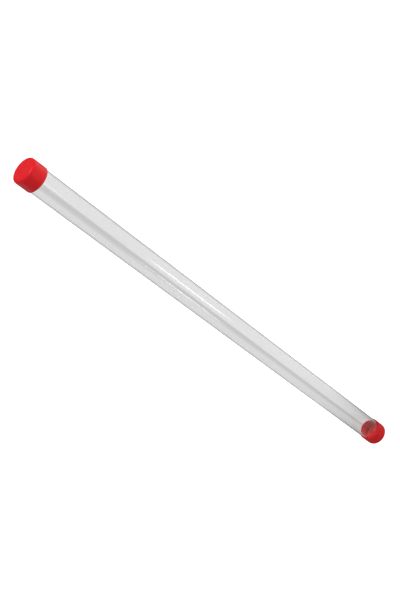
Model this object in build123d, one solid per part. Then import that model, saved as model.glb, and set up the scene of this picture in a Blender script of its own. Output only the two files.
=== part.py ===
"""A long clear plastic tube with the same soft push-on cap over each end.

It stands upright. The tube's axis is +Z, and the origin is the middle of the lower
cap's end face. All sizes are in millimetres.
"""

import os

from build123d import *

# Driving dimensions of the whole
OVERALL_LENGTH = 600.0

# Driving dimensions of the tube
TUBE_OUTER_RADIUS = 12.7  # one inch stock tube
TUBE_WALL = 1.6
TUBE_EDGE_RADIUS = 0.3  # both rims of a cut end are lightly rounded over

# Driving dimensions of a cap
CAP_OUTER_RADIUS = 13.7
CAP_DEPTH = 17.3
CAP_END_THICKNESS = 1.2
CAP_END_RADIUS = 2.6  # outside, around the closed end
CAP_FLOOR_RADIUS = 0.8  # inside, around the closed end
CAP_RIM_RADIUS = 0.35  # outside, around the open end
CAP_LEAD_IN = 0.3  # inside, around the open end

# Room between a cap and the tube
SLEEVE_ROOM = 0.05  # all round
FLOOR_ROOM = 0.5  # between the cap's floor and the end of the tube

# Worked out from the above
TUBE_INNER_RADIUS = TUBE_OUTER_RADIUS - TUBE_WALL
TUBE_BOTTOM = CAP_END_THICKNESS + FLOOR_ROOM
TUBE_LENGTH = OVERALL_LENGTH - 2 * TUBE_BOTTOM
CAP_INNER_RADIUS = TUBE_OUTER_RADIUS + SLEEVE_ROOM
STANDING = (Align.CENTER, Align.CENTER, Align.MIN)


def make_tube():
    """The tube where it stands, open at both ends."""
    with BuildPart() as tube:
        with Locations((0, 0, TUBE_BOTTOM)):
            Cylinder(TUBE_OUTER_RADIUS, TUBE_LENGTH, align=STANDING)
            Cylinder(TUBE_INNER_RADIUS, TUBE_LENGTH, align=STANDING, mode=Mode.SUBTRACT)
        fillet(tube.edges().filter_by(GeomType.CIRCLE), TUBE_EDGE_RADIUS)
    return tube.part


def make_cap():
    """A cap as it sits on the lower end: closed at z = 0 and open upwards."""
    with BuildPart() as cap:
        Cylinder(CAP_OUTER_RADIUS, CAP_DEPTH, align=STANDING)
        closed_end, *_, open_end = cap.edges().filter_by(GeomType.CIRCLE).sort_by(Axis.Z)
        fillet(closed_end, CAP_END_RADIUS)
        fillet(open_end, CAP_RIM_RADIUS)

        with Locations((0, 0, CAP_END_THICKNESS)):
            Cylinder(CAP_INNER_RADIUS, CAP_DEPTH, align=STANDING, mode=Mode.SUBTRACT)
        inside = cap.edges(Select.LAST).filter_by(GeomType.CIRCLE).sort_by(Axis.Z)
        fillet(inside[0], CAP_FLOOR_RADIUS)
        mouth = cap.faces().sort_by(Axis.Z)[-1].edges().sort_by(SortBy.RADIUS)
        chamfer(mouth[0], CAP_LEAD_IN)
    return cap.part


tube = make_tube()
bottom_cap = make_cap()
top_cap = Pos(0, 0, OVERALL_LENGTH) * Rot(180, 0, 0) * bottom_cap

os.makedirs("parts", exist_ok=True)
for name, solid in {"tube": tube, "bottom_cap": bottom_cap, "top_cap": top_cap}.items():
    export_step(solid, f"parts/{name}.step")
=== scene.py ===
"""Looks of a clear plastic tube with a soft red push-on cap over each end."""

import math

import bmesh
import bpy
from mathutils import Matrix, Vector


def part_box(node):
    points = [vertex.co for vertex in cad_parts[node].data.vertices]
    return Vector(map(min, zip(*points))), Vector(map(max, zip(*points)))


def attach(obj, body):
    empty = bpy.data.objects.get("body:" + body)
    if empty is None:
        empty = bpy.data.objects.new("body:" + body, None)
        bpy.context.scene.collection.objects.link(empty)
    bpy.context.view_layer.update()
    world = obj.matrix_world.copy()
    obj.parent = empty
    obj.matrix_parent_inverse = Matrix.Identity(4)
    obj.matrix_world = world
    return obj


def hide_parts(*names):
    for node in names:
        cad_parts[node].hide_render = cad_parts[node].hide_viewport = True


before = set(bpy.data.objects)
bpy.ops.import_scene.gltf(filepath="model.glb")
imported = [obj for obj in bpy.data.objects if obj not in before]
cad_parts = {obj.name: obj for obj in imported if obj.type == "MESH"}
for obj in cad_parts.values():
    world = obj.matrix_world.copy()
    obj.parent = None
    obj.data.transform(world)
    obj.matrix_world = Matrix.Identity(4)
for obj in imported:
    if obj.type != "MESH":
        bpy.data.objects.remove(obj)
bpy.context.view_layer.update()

MM = 0.001

# Sides of each circle. All of them are about the tube's axis, which is Z.
TURNS = 160

# Tube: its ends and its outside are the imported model's
tube_low, tube_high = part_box("tube")
TUBE_OUTER = tube_high.x
TUBE_INNER = TUBE_OUTER - 1.6 * MM
TUBE_EDGE = 0.3 * MM
# How far from each end of the tube the extra loops lie
TUBE_LOOPS = (2 * TUBE_EDGE, 6 * TUBE_EDGE)

# Caps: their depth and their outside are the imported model's
cap_low, cap_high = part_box("bottom_cap")
CAP_OUTER = cap_high.x
CAP_DEPTH = cap_high.z - cap_low.z
CAP_INNER = TUBE_OUTER + 0.05 * MM
CAP_END_THICKNESS = 1.2 * MM
CAP_END_ROUND = 2.6 * MM
CAP_FLOOR_ROUND = 0.8 * MM
CAP_RIM_ROUND = 0.35 * MM
CAP_LEAD_IN = 0.3 * MM
# Heights of the extra loops, beside the rounded end and the rim
CAP_LOOPS = (CAP_END_ROUND + 0.5 * MM, CAP_DEPTH - 1.0 * MM)
# How far in each step of the dished end goes, and how far it sinks there
DISH = [(1.6 * MM, 0.02 * MM), (1.8 * MM, 0.06 * MM), (2.5 * MM, 0.10 * MM), (2.5 * MM, 0.05 * MM)]
# The faces of a cap that lie within its bore and above this height are its inside, which has the paler red
# of painted light
CAP_INSIDE_FROM = 0.9 * CAP_END_THICKNESS
TOTAL_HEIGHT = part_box("top_cap")[1].z


# ---------------------------------------------------------------- mesh helpers


def ring(bm, radius, height, near=1e-6):
    """The edges that lie on one circle about Z."""

    def on_ring(v):
        return abs(v.co.z - height) < near and abs(math.hypot(v.co.x, v.co.y) - radius) < near

    return [e for e in bm.edges if all(on_ring(v) for v in e.verts)]


def round_off(bm, radius, height, size, steps):
    """Rounds the corner that runs along one circle."""
    bmesh.ops.bevel(
        bm,
        geom=ring(bm, radius, height),
        offset=size,
        offset_type="OFFSET",
        affect="EDGES",
        segments=steps,
        profile=0.5,
        material=-1,
    )


def corners(geom):
    """The vertices among what an operator returned."""
    return [v for v in geom if isinstance(v, bmesh.types.BMVert)]


def cut_across(bm, height):
    """A loop across the piece, which keeps the shading of the corner beside it short."""
    bmesh.ops.bisect_plane(
        bm, geom=bm.verts[:] + bm.edges[:] + bm.faces[:], plane_co=(0, 0, height), plane_no=(0, 0, 1)
    )


def add_object(name, data):
    """A new object in the scene."""
    made = bpy.data.objects.new(name, data)
    bpy.context.scene.collection.objects.link(made)
    return made


def add_mesh(name, bm, *materials):
    """A new object that takes over a bmesh, and its materials."""
    mesh = bpy.data.meshes.new(name)
    bm.to_mesh(mesh)
    bm.free()
    for material in materials:
        mesh.materials.append(material)
    return add_object(name, mesh)


def piece(name, bm, body, slot, *materials):
    """Makes a piece of the object, smooth and with its faces outwards, and puts it on its body."""
    bmesh.ops.recalc_face_normals(bm, faces=bm.faces[:])
    made = add_mesh(name, bm, *materials)
    made.data.shade_smooth()
    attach(made, body)
    return made


# ------------------------------------------------------------- material helpers


def set_inputs(tree, made, inputs):
    """Gives a node's inputs their values, or a link where the value is another node's output."""
    for socket, value in inputs.items():
        if isinstance(value, bpy.types.NodeSocket):
            tree.links.new(value, made.inputs[socket])
        else:
            made.inputs[socket].default_value = value


def node(tree, kind, inputs=None, **settings):
    """A node with its settings and its input values or links."""
    made = tree.nodes.new(kind)
    for name, value in settings.items():
        setattr(made, name, value)
    set_inputs(tree, made, inputs or {})
    return made


def calc(tree, operation, *values):
    """The result of one Math node on its values or links."""
    return node(tree, "ShaderNodeMath", dict(enumerate(values)), operation=operation).outputs[0]


def calc_all(tree, operation, values):
    """The result of a row of Math nodes, each of which takes in one more value."""
    result, *others = values
    for value in others:
        result = calc(tree, operation, result, value)
    return result


def times(tree, *values):
    """The product of several values."""
    return calc_all(tree, "MULTIPLY", values)


def plus(tree, *values):
    """The total of several values."""
    return calc_all(tree, "ADD", values)


def mix(tree, factor, a, b):
    """A number that is a where the factor is 0, and b where it is 1."""
    return node(tree, "ShaderNodeMix", {0: factor, 2: a, 3: b}).outputs[0]


def mix_colours(tree, factor, a, b):
    """A colour that is a where the factor is 0, and b where it is 1."""
    return node(tree, "ShaderNodeMix", {0: factor, 6: a, 7: b}, data_type="RGBA").outputs[2]


def ramp(tree, value, low, high, start=0.0, end=1.0, curve="LINEAR"):
    """A number that goes from start to end while the value goes from low to high."""
    inputs = {"Value": value, "From Min": low, "From Max": high, "To Min": start, "To Max": end}
    return node(tree, "ShaderNodeMapRange", inputs, interpolation_type=curve).outputs["Result"]


def object_place(tree):
    """Where a point lies on the object, in metres."""
    return node(tree, "ShaderNodeTexCoord").outputs["Object"]


def noise(tree, place, scale, detail, roughness=0.5):
    """A soft random pattern, with its scale in cycles a metre."""
    inputs = {"Vector": place, "Scale": scale, "Detail": detail, "Roughness": roughness}
    return node(tree, "ShaderNodeTexNoise", inputs).outputs["Fac"]


def bumped(tree, height, strength, depth):
    """The normal of a surface that a height roughens by a depth."""
    inputs = {"Height": height, "Strength": strength, "Distance": depth}
    return node(tree, "ShaderNodeBump", inputs).outputs["Normal"]


def empty_material(name):
    """A material without a node: (material, its tree)."""
    material = bpy.data.materials.new(name)
    material.use_nodes = True
    material.node_tree.nodes.clear()
    return material, material.node_tree


def principled_material(name):
    """A material with one Principled shader: (material, its tree, the shader, its output)."""
    material, tree = empty_material(name)
    shader = node(tree, "ShaderNodeBsdfPrincipled")
    output = node(tree, "ShaderNodeOutputMaterial", {"Surface": shader.outputs["BSDF"]})
    return material, tree, shader, output


# -------------------------------------------------------------------- materials

CLEAR_TINT = (0.90, 0.905, 0.90, 1.0)
FROSTED_TINT = (0.92, 0.92, 0.92, 1.0)
# What one clear wall leaves of the light that passes straight through it
SHADOW_TINT = (0.97, 0.97, 0.97, 1.0)
# Lines along the tube: cycles a metre across it, twice, and along it
DRAWN_LINES = (900.0, 900.0, 3.0)
# Depth of a scratch in the tube, where the drawn lines are 1 high
SCRATCH_DEPTH = 0.5

RED_DEEP = (0.58, 0.008, 0.012, 1.0)
RED_PALE = (0.68, 0.013, 0.018, 1.0)
# Paler reds for the inside of a cap: painted light, brighter than the outside's to stand in for the light
# that reaches little into the cap
PAINTED_LIT_INSIDE_RED_DEEP = (0.82, 0.028, 0.030, 1.0)
PAINTED_LIT_INSIDE_RED_PALE = (0.88, 0.038, 0.042, 1.0)
DUST = (0.70, 0.55, 0.52, 1.0)
# How much of a speck of dust covers the red where the vinyl is most smudged
DUST_COVER = 0.18

SPECKS_A_METRE = 420.0
# Scratches run along a line that is tilted by these angles, in radians, and are this many times
# closer together across it than along it.
SCRATCH_TILT = (0.5, 0.35, 0.2)
SCRATCH_CLOSENESS = (12.0, 9.0, 1.0)


def handling_marks():
    """Fine scratches, smudges and specks from handling. Lengths are in metres."""
    group = bpy.data.node_groups.new("handling_marks", "ShaderNodeTree")
    group.interface.new_socket("Vector", in_out="INPUT", socket_type="NodeSocketVector")
    for name in ("Scratch Length", "Smudge Size"):
        length = group.interface.new_socket(name, in_out="INPUT", socket_type="NodeSocketFloat")
        length.default_value = 0.02
    for name in ("Scratches", "Smudges", "Specks"):
        group.interface.new_socket(name, in_out="OUTPUT", socket_type="NodeSocketFloat")
    given = group.nodes.new("NodeGroupInput").outputs
    place = given["Vector"]

    # Scratches are a noise that is drawn out along the line, kept only where it peaks.
    tilted = {"Vector": place, "Rotation": SCRATCH_TILT, "Scale": SCRATCH_CLOSENESS}
    drawn_out = node(group, "ShaderNodeMapping", tilted).outputs["Vector"]
    per_length = calc(group, "DIVIDE", 1.0, given["Scratch Length"])
    hairs = noise(group, drawn_out, per_length, detail=6.0, roughness=0.7)
    per_size = calc(group, "DIVIDE", 1.0, given["Smudge Size"])
    blotches = noise(group, place, per_size, detail=4.0, roughness=0.55)
    dots = node(group, "ShaderNodeTexVoronoi", {"Vector": place, "Scale": SPECKS_A_METRE})

    marks = {
        "Scratches": ramp(group, hairs, 0.60, 0.72),
        "Smudges": ramp(group, blotches, 0.42, 0.68),
        "Specks": ramp(group, dots.outputs["Distance"], 0.16, 0.06),
    }
    set_inputs(group, group.nodes.new("NodeGroupOutput"), marks)
    return group


marks_group = handling_marks()


def add_marks(tree, place, scratch_length, smudge_size):
    """The handling marks at a material's own sizes."""
    inputs = {"Vector": place, "Scratch Length": scratch_length, "Smudge Size": smudge_size}
    return node(tree, "ShaderNodeGroup", inputs, node_tree=marks_group).outputs


def worn_roughness(tree, marks, clean, smudged, scratched):
    """Roughness from clean to smudged, with some more along each scratch."""
    skin = ramp(tree, marks["Smudges"], 0.0, 1.0, clean, smudged)
    return calc(tree, "MULTIPLY_ADD", marks["Scratches"], scratched, skin)


def let_light_through(tree, shader, output):
    """Lets shadow rays pass straight through a clear wall, so that what lies behind it is lit."""
    path = node(tree, "ShaderNodeLightPath").outputs
    straight = node(tree, "ShaderNodeBsdfTransparent", {"Color": SHADOW_TINT}).outputs["BSDF"]
    choice = {0: path["Is Shadow Ray"], 1: shader.outputs["BSDF"], 2: straight}
    either = node(tree, "ShaderNodeMixShader", choice).outputs["Shader"]
    set_inputs(tree, output, {"Surface": either})


def clear_plastic():
    """Extruded clear plastic: faint lines along its length, fine scratches and a light haze."""
    material, tree, shader, output = principled_material("clear_plastic")
    place = object_place(tree)
    marks = add_marks(tree, place, scratch_length=0.03, smudge_size=0.03)
    drawn = node(tree, "ShaderNodeMapping", {"Vector": place, "Scale": DRAWN_LINES}).outputs["Vector"]
    lines = noise(tree, drawn, scale=1.0, detail=3.0)
    height = calc(tree, "MULTIPLY_ADD", marks["Scratches"], -SCRATCH_DEPTH, lines)
    looks = {
        "Base Color": CLEAR_TINT,
        "IOR": 1.49,
        "Transmission Weight": 1.0,
        "Roughness": worn_roughness(tree, marks, clean=0.035, smudged=0.07, scratched=0.18),
        "Normal": bumped(tree, height, strength=0.12, depth=0.02 * MM),
    }
    set_inputs(tree, shader, looks)
    let_light_through(tree, shader, output)
    return material


def sawn_plastic():
    """The tube's cut ends, frosted by the saw. They bend light little, so a seated cap shows through."""
    material, tree, shader, output = principled_material("sawn_plastic")
    grain = noise(tree, object_place(tree), scale=6000.0, detail=4.0)
    looks = {
        "Base Color": FROSTED_TINT,
        "IOR": 1.15,
        "Transmission Weight": 0.85,
        "Roughness": ramp(tree, grain, 0.0, 1.0, start=0.5, end=0.7),
        "Normal": bumped(tree, grain, strength=0.5, depth=0.03 * MM),
    }
    set_inputs(tree, shader, looks)
    let_light_through(tree, shader, output)
    return material


def red_vinyl(name, deep, pale, gloss):
    """Soft moulded vinyl: mottled from deep to pale, with a soft gloss, scuffs and a little dust."""
    material, tree, shader, _ = principled_material(name)
    place = object_place(tree)
    marks = add_marks(tree, place, scratch_length=0.006, smudge_size=0.008)
    mottle = noise(tree, place, scale=160.0, detail=3.0)
    dusty = times(tree, marks["Specks"], marks["Smudges"], DUST_COVER)
    skin = noise(tree, place, scale=2600.0, detail=2.0)
    looks = {
        "Base Color": mix_colours(tree, dusty, mix_colours(tree, mottle, deep, pale), DUST),
        "IOR": 1.5,
        "Specular IOR Level": gloss,
        "Roughness": worn_roughness(tree, marks, clean=0.30, smudged=0.42, scratched=0.10),
        "Normal": bumped(tree, skin, strength=0.08, depth=0.02 * MM),
    }
    set_inputs(tree, shader, looks)
    return material


clear = clear_plastic()
sawn = sawn_plastic()
vinyl = red_vinyl("red_vinyl", RED_DEEP, RED_PALE, gloss=0.15)
# The inside of each cap: the same vinyl in paler reds, painted light
painted_lit_vinyl_inside = red_vinyl("red_vinyl_inside_painted_lit", PAINTED_LIT_INSIDE_RED_DEEP, PAINTED_LIT_INSIDE_RED_PALE, gloss=0.05)


# ----------------------------------------------------------------------- pieces


def make_tube():
    """A ring drawn up to the tube's length, with its cut edges rounded over and its ends frosted."""
    bm = bmesh.new()
    bottom, top = tube_low.z, tube_high.z
    for radius in (TUBE_OUTER, TUBE_INNER):
        bmesh.ops.create_circle(
            bm, segments=TURNS, radius=radius, matrix=Matrix.Translation((0, 0, bottom))
        )
    end_ring = bmesh.ops.bridge_loops(bm, edges=bm.edges[:])["faces"]
    drawn = bmesh.ops.extrude_face_region(bm, geom=end_ring, use_keep_orig=True)["geom"]
    bmesh.ops.translate(bm, vec=(0, 0, top - bottom), verts=corners(drawn))
    for height in (bottom, top):
        for radius in (TUBE_OUTER, TUBE_INNER):
            round_off(bm, radius, height, TUBE_EDGE, steps=4)
    for step in TUBE_LOOPS:
        cut_across(bm, bottom + step)
        cut_across(bm, top - step)
    for face in bm.faces:
        middle = face.calc_center_median().z
        at_an_end = min(middle - bottom, top - middle) < TUBE_EDGE
        face.material_index = int(at_an_end)
    made = piece("tube_wall", bm, "tube", "clear_plastic", clear, sawn)
    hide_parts("tube")


def make_cap(name, body, turned_over):
    """A cup that is closed at z = 0, every corner rounded and its end very slightly dished."""
    bm = bmesh.new()
    bmesh.ops.create_circle(bm, cap_ends=True, segments=TURNS, radius=CAP_OUTER)
    drawn = bmesh.ops.extrude_face_region(bm, geom=bm.faces[:], use_keep_orig=True)["geom"]
    bmesh.ops.translate(bm, vec=(0, 0, CAP_DEPTH), verts=corners(drawn))
    mouth = next(f for f in drawn if isinstance(f, bmesh.types.BMFace))
    bmesh.ops.inset_region(bm, faces=[mouth], thickness=CAP_OUTER - CAP_INNER, use_even_offset=True)
    sunk = bmesh.ops.extrude_face_region(bm, geom=[mouth])["geom"]
    bmesh.ops.delete(bm, geom=[mouth], context="FACES_ONLY")
    bmesh.ops.translate(bm, vec=(0, 0, CAP_END_THICKNESS - CAP_DEPTH), verts=corners(sunk))

    round_off(bm, CAP_OUTER, 0, CAP_END_ROUND, steps=10)
    round_off(bm, CAP_OUTER, CAP_DEPTH, CAP_RIM_ROUND, steps=4)
    round_off(bm, CAP_INNER, CAP_DEPTH, CAP_LEAD_IN, steps=3)
    round_off(bm, CAP_INNER, CAP_END_THICKNESS, CAP_FLOOR_ROUND, steps=5)
    for height in CAP_LOOPS:
        cut_across(bm, height)

    end_face = min(bm.faces, key=lambda face: face.calc_center_median().z)
    for step, depth in DISH:
        bmesh.ops.inset_region(bm, faces=[end_face], thickness=step, use_even_offset=True)
        bmesh.ops.translate(bm, vec=(0, 0, depth), verts=end_face.verts[:])
    # Faces inside the bore take the paler reds: painted light inside the cap
    for face in bm.faces:
        middle = face.calc_center_median()
        within = math.hypot(middle.x, middle.y) < CAP_INNER and middle.z > CAP_INSIDE_FROM
        face.material_index = int(within)
    if turned_over:
        turn = Matrix.Rotation(math.pi, 3, "X")
        bmesh.ops.rotate(bm, cent=(0, 0, TOTAL_HEIGHT / 2), matrix=turn, verts=bm.verts[:])

    made = piece(name, bm, body, "red_vinyl", vinyl, painted_lit_vinyl_inside)
    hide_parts(body)


make_tube()
make_cap("bottom_cap_shell", "bottom_cap", turned_over=False)
make_cap("top_cap_shell", "top_cap", turned_over=True)


# ------------------------------------------------------------------------ floor

FLOOR_SIZE = 14.0
# Under the lowest place that the bottom cap is pulled down to
FLOOR_HEIGHT = -0.03
PAPER = (0.8, 0.8, 0.8, 1.0)
PAPER_GLOW = 0.7

# To the plastic the floor is painted with soft card shapes and glowing strips on white paper at a
# brightness of 1: painted reflections, painted highlights and a painted shadow that only the plastic sees.
# Each pair gives where one card fades into the next. Bearings are in degrees about the tube and grow
# towards +X: from -Y for what the plastic mirrors, and from +Y for what shows through it.
# Painted reflections: the brightness painted on the floor for what the outside of the tube mirrors
MIRRORED_FAR_LEFT = 1.1
MIRRORED_LEFT = 0.6
MIRRORED_RIGHT = 1.6
MIRRORED_BEHIND = 0.1
LEFT_FADE = (-125.0, -75.0)
MIDDLE_FADE = (-0.4, 0.9)
BEHIND_FADE = (105.0, 150.0)
SEEN_THROUGH = 0.91
SEEN_THROUGH_CLOSE = 0.80
# Painted shadow: the tube's own shadow, painted on the floor as a narrow shade that only shows through the
# tube
SHADE_DEPTH = 0.25
SHADE_STARTS = (-6.5, -1.6)
SHADE_ENDS = (-0.9, 0.6)
# Painted shade at the tube's edges: the floor's brightness to light that has bounced inside the wall,
# dimmer than the paper
BOUNCED_INSIDE = 0.69
# Painted shade: near the tube's foot the floor is painted darker. These are the parts of its brightness
# that are left there, and the distances in metres over which it comes back.
MIRRORED_AT_FOOT = 0.15
MIRRORED_FOOT = (0.05, 0.17)
BOUNCED_AT_FOOT = 0.60
BOUNCED_FOOT = (0.03, 0.16)
SEEN_FOOT = (0.02, 0.26)
# A painted strip is at its full brightness from this many times its near end to this part of its far end.
STRIP_FULL_FROM = 1.12
STRIP_FULL_TO = 0.9


def smooth(tree, value, fade, start=0.0, end=1.0):
    """A number that goes smoothly from start to end over a pair of values."""
    return ramp(tree, value, *fade, start, end, curve="SMOOTHSTEP")


def smooth_turn(tree, bearing, fade, start=0.0, end=1.0):
    """A number that goes smoothly from start to end over a pair of bearings in degrees."""
    return smooth(tree, bearing, [math.radians(angle) for angle in fade], start, end)


class PaintedStrip:
    """A glowing strip painted on the floor that points at the tube, in degrees and metres: a painted
    highlight that only the plastic sees.
    """

    def __init__(self, bearing, half_width, near, far, strength):
        self.bearing = bearing
        self.half_width = half_width
        self.near = near
        self.far = far
        self.strength = strength

    def light(self, tree, bearing, distance):
        """How bright it is at a place on the floor."""
        rise = smooth_turn(tree, bearing, (self.bearing - self.half_width, self.bearing))
        fall = smooth_turn(tree, bearing, (self.bearing, self.bearing + self.half_width), 1.0, 0.0)
        start = smooth(tree, distance, (self.near, self.near * STRIP_FULL_FROM))
        stop = smooth(tree, distance, (self.far * STRIP_FULL_TO, self.far), 1.0, 0.0)
        return times(tree, rise, fall, start, stop, self.strength)


# Painted highlights: strips that glow on the floor for the plastic alone, and show on the tube as bright
# lines
PAINTED_STRIPS = [
    PaintedStrip(bearing=38.0, half_width=6.0, near=0.40, far=0.71, strength=6.0),
    PaintedStrip(bearing=-34.0, half_width=5.0, near=0.40, far=0.67, strength=3.5),
    PaintedStrip(bearing=-48.0, half_width=5.0, near=0.42, far=0.65, strength=1.5),
    PaintedStrip(bearing=16.0, half_width=4.0, near=1.00, far=1.65, strength=2.5),
]


def painted_reflections(tree, front, distance):
    """Painted reflections on the outside of the tube: the floor painted as a dark card, a bright one, and a
    dim floor behind.
    """
    left = smooth_turn(tree, front, LEFT_FADE, MIRRORED_FAR_LEFT, MIRRORED_LEFT)
    right = smooth_turn(tree, front, MIDDLE_FADE, 0.0, MIRRORED_RIGHT - MIRRORED_LEFT)
    sideways = calc(tree, "ABSOLUTE", front)
    ahead = smooth_turn(tree, sideways, BEHIND_FADE, 1.0, MIRRORED_BEHIND)
    # Painted shade near the tube's foot
    beside = smooth(tree, distance, MIRRORED_FOOT, MIRRORED_AT_FOOT, 1.0)
    return times(tree, plus(tree, left, right), ahead, beside)


def seen_with_painted_shadow(tree, behind, distance):
    """What shows through the tube: pale paper with a painted shadow of the tube, a narrow shade near its
    middle.
    """
    rise = smooth_turn(tree, behind, SHADE_STARTS)
    fall = smooth_turn(tree, behind, SHADE_ENDS, 1.0, 0.0)
    lit = calc(tree, "MULTIPLY_ADD", times(tree, rise, fall), -SHADE_DEPTH, 1.0)
    # Painted shade near the tube's foot as well
    return times(tree, lit, smooth(tree, distance, SEEN_FOOT, SEEN_THROUGH_CLOSE, SEEN_THROUGH))


def once(tree, depth):
    """1 where a ray has done something at least once, or else 0."""
    return calc(tree, "GREATER_THAN", depth, 0.5)


def floor_paper():
    """Paper that is white to the eye and to soft light, and to the plastic painted with reflections,
    highlights and a shadow.
    """
    material, tree = empty_material("floor_paper")
    material.cycles.emission_sampling = "NONE"
    path = node(tree, "ShaderNodeLightPath").outputs
    place = node(tree, "ShaderNodeSeparateXYZ", {0: object_place(tree)}).outputs
    flat = node(tree, "ShaderNodeCombineXYZ", {"X": place["X"], "Y": place["Y"]}).outputs[0]
    distance = node(tree, "ShaderNodeVectorMath", {0: flat}, operation="LENGTH").outputs["Value"]
    front = calc(tree, "ARCTAN2", place["X"], times(tree, place["Y"], -1.0))
    behind = calc(tree, "ARCTAN2", place["X"], place["Y"])

    # Painted highlights from the glowing strips
    painted_highlights = plus(tree, *[strip.light(tree, front, distance) for strip in PAINTED_STRIPS])
    # Painted reflections, with the painted highlights
    mirrored = plus(tree, painted_highlights, painted_reflections(tree, front, distance))
    # Painted shade: dimmer floor for light that bounced inside the wall, and darker near the foot
    painted_shade_bounce = smooth(tree, distance, BOUNCED_FOOT, BOUNCED_AT_FOOT * BOUNCED_INSIDE, BOUNCED_INSIDE)
    # Painted shadow of the tube, seen through it
    seen = seen_with_painted_shadow(tree, behind, distance)
    through = mix(tree, once(tree, path["Glossy Depth"]), seen, plus(tree, painted_highlights, painted_shade_bounce))
    brightness = mix(tree, once(tree, path["Transmission Depth"]), mirrored, through)

    # Emission that paints the reflections, highlights and shadow that only the plastic sees
    painted_light_for_plastic = node(tree, "ShaderNodeEmission", {"Strength": brightness}).outputs[0]
    paper = node(tree, "ShaderNodeBsdfDiffuse", {"Color": PAPER}).outputs[0]
    glow = times(tree, path["Is Camera Ray"], PAPER_GLOW)
    lit_paper = {0: paper, 1: node(tree, "ShaderNodeEmission", {"Strength": glow}).outputs[0]}
    sheet = node(tree, "ShaderNodeAddShader", lit_paper).outputs[0]
    by_plastic = calc(tree, "MAXIMUM", path["Is Glossy Ray"], path["Is Transmission Ray"])
    surface = node(tree, "ShaderNodeMixShader", {0: by_plastic, 1: sheet, 2: painted_light_for_plastic}).outputs[0]
    node(tree, "ShaderNodeOutputMaterial", {"Surface": surface})
    return material


def make_floor():
    """A wide flat sheet under the object."""
    bm = bmesh.new()
    bmesh.ops.create_grid(
        bm, x_segments=1, y_segments=1, size=FLOOR_SIZE / 2, matrix=Matrix.Translation((0, 0, FLOOR_HEIGHT))
    )
    add_mesh("floor", bm, floor_paper())


# ------------------------------------------------------------- lights and camera

WHITE = (1.0, 1.0, 1.0, 1.0)
# Both in millimetres
SENSOR = 36.0
LENS = 61.41
LOOK_DOWN = math.radians(38.39)
ROLL = math.radians(53.11)
# Where the middle of the top cap's end lies in the camera's own axes, in cap radii
TOP_SEEN_AT = Vector((-11.418, 8.406, -65.898))


def make_light(name, place, size, power, aim=(0, 0, 0.3), mirrored=False):
    """A square soft light that faces the object, and that gloss may or may not mirror."""
    lamp = bpy.data.lights.new(name, "AREA")
    lamp.shape = "SQUARE"
    lamp.size = size
    lamp.energy = power
    made = add_object(name, lamp)
    made.visible_glossy = mirrored
    made.location = place
    made.rotation_euler = (Vector(aim) - Vector(place)).to_track_quat("-Z", "Y").to_euler()


def make_world(diffuse, mirrored, seen):
    """An even sky: how bright it is as light, in a reflection, and where it is seen."""
    world = bpy.data.worlds.new("studio")
    world.use_nodes = True
    world.cycles.sampling_method = "NONE"
    tree = world.node_tree
    path = node(tree, "ShaderNodeLightPath").outputs
    unmirrored = mix(tree, path["Is Diffuse Ray"], seen, diffuse)
    strength = mix(tree, path["Is Glossy Ray"], unmirrored, mirrored)
    set_inputs(tree, tree.nodes["Background"], {"Color": WHITE, "Strength": strength})
    bpy.context.scene.world = world


def make_camera():
    """A camera in front and above, rolled so that the upright tube lies across its view."""
    lens = bpy.data.cameras.new("camera")
    lens.sensor_width = SENSOR
    lens.lens = LENS
    lens.clip_start = 0.01
    made = add_object("camera", lens)
    turn = Matrix.Rotation(math.pi / 2 - LOOK_DOWN, 4, "X") @ Matrix.Rotation(-ROLL, 4, "Z")
    place = Vector((0, 0, TOTAL_HEIGHT)) - turn.to_3x3() @ (TOP_SEEN_AT * CAP_OUTER)
    made.matrix_world = Matrix.Translation(place) @ turn
    bpy.context.scene.camera = made


make_floor()
make_world(diffuse=0.41, mirrored=0.1, seen=1.0)
make_light("key", (1.2, -0.5, 0.85), size=0.7, power=8)
make_light("fill", (-1.0, -0.45, 1.1), size=0.7, power=2.7)
make_light("back", (-0.3, 1.4, 0.9), size=0.9, power=6)
make_light("top", (0.15, -0.15, 1.15), size=0.3, power=2.5, aim=(0, 0, 0.6), mirrored=True)
make_camera()
bpy.context.scene.view_settings.view_transform = "Standard"

bpy.context.view_layer.update()
